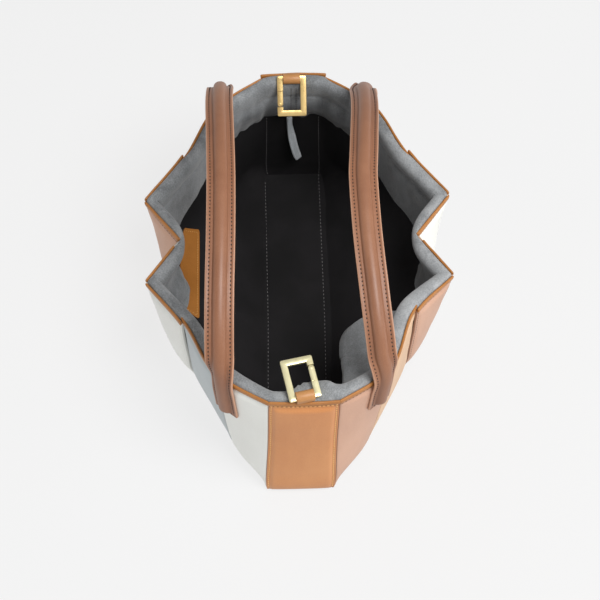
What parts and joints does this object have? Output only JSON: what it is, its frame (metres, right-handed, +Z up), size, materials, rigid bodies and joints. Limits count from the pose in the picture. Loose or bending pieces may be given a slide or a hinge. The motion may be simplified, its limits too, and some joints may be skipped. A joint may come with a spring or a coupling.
{
  "type": "tote bag",
  "caption": "Open-topped leather tote bag of padded strips with pleated sides, a suede-faced rim, arched handles and sprung metal strap rings at its ends.",
  "frame": {"origin": "middle of the base, on the surface the bag stands on", "axes": "+X along the bag's length to the end whose ring lies level, +Y across to the side with the brown strips at that end, +Z up"},
  "size_m": [0.3885, 0.2968, 0.2637],
  "materials": {
    "tan_leather": "smooth grained leather",
    "light_tan_leather": "smooth grained leather",
    "brown_leather": "smooth grained leather",
    "white_leather": "smooth grained leather",
    "grey_leather": "smooth grained leather",
    "binding_leather": "turned raw leather edge",
    "handle_leather": "stitched leather over a round core",
    "patch_leather": "matt leather",
    "suede": "brushed suede",
    "strap_suede": "brushed suede",
    "lining": "plain woven cloth",
    "gold_metal": "polished pale gold"
  },
  "bodies": {
    "bag": {"base_panel": "tan_leather", "strip_end_near": "tan_leather", "strip_end_far": "tan_leather", "strip_right_near_corner": "brown_leather", "strip_right_near_middle": "light_tan_leather", "strip_right_near_tip": "brown_leather", "strip_right_near_pleat": "light_tan_leather", "strip_right_far_corner": "white_leather", "strip_right_far_middle": "grey_leather", "strip_right_far_tip": "white_leather", "strip_right_far_pleat": "white_leather", "strip_left_near_corner": "white_leather", "strip_left_near_middle": "grey_leather", "strip_left_near_tip": "white_leather", "strip_left_near_pleat": "white_leather", "strip_left_far_corner": "brown_leather", "strip_left_far_middle": "light_tan_leather", "strip_left_far_tip": "brown_leather", "strip_left_far_pleat": "brown_leather", "binding_end_near": "binding_leather", "binding_end_far": "binding_leather", "binding_right_near_corner": "binding_leather", "binding_right_near_middle": "binding_leather", "binding_right_near_tip": "binding_leather", "binding_right_near_pleat": "binding_leather", "binding_right_far_corner": "binding_leather", "binding_right_far_middle": "binding_leather", "binding_right_far_tip": "binding_leather", "binding_right_far_pleat": "binding_leather", "binding_left_near_corner": "binding_leather", "binding_left_near_middle": "binding_leather", "binding_left_near_tip": "binding_leather", "binding_left_near_pleat": "binding_leather", "binding_left_far_corner": "binding_leather", "binding_left_far_middle": "binding_leather", "binding_left_far_tip": "binding_leather", "binding_left_far_pleat": "binding_leather", "suede_facing": "suede", "black_lining": "lining", "inner_patch": "patch_leather", "pull_strap": "strap_suede", "handle_right": "handle_leather", "handle_left": "handle_leather", "ring_tab_near": "binding_leather", "ring_tab_far": "binding_leather", "ring_near": "gold_metal", "ring_far": "gold_metal"},
    "gate_near": {"ring_gate_near": "gold_metal"},
    "gate_far": {"ring_gate_far": "gold_metal"}
  },
  "joints": [
    {"name": "near_gate_hinge", "type": "hinge", "parent": "bag", "child": "gate_near", "pos_m": [0.16081, 0.00714, 0.17604], "axis": [0.1192, 0.0253, 0.9925], "range_deg": [-30, 0], "stiffness_Nm_per_rad": 0.005, "springref_deg": 5.73},
    {"name": "far_gate_hinge", "type": "hinge", "parent": "bag", "child": "gate_far", "pos_m": [-0.16703, -0.0138, 0.15306], "axis": [0.7193, 0, 0.6947], "range_deg": [-30, 0], "stiffness_Nm_per_rad": 0.005, "springref_deg": 5.73}
  ]
}
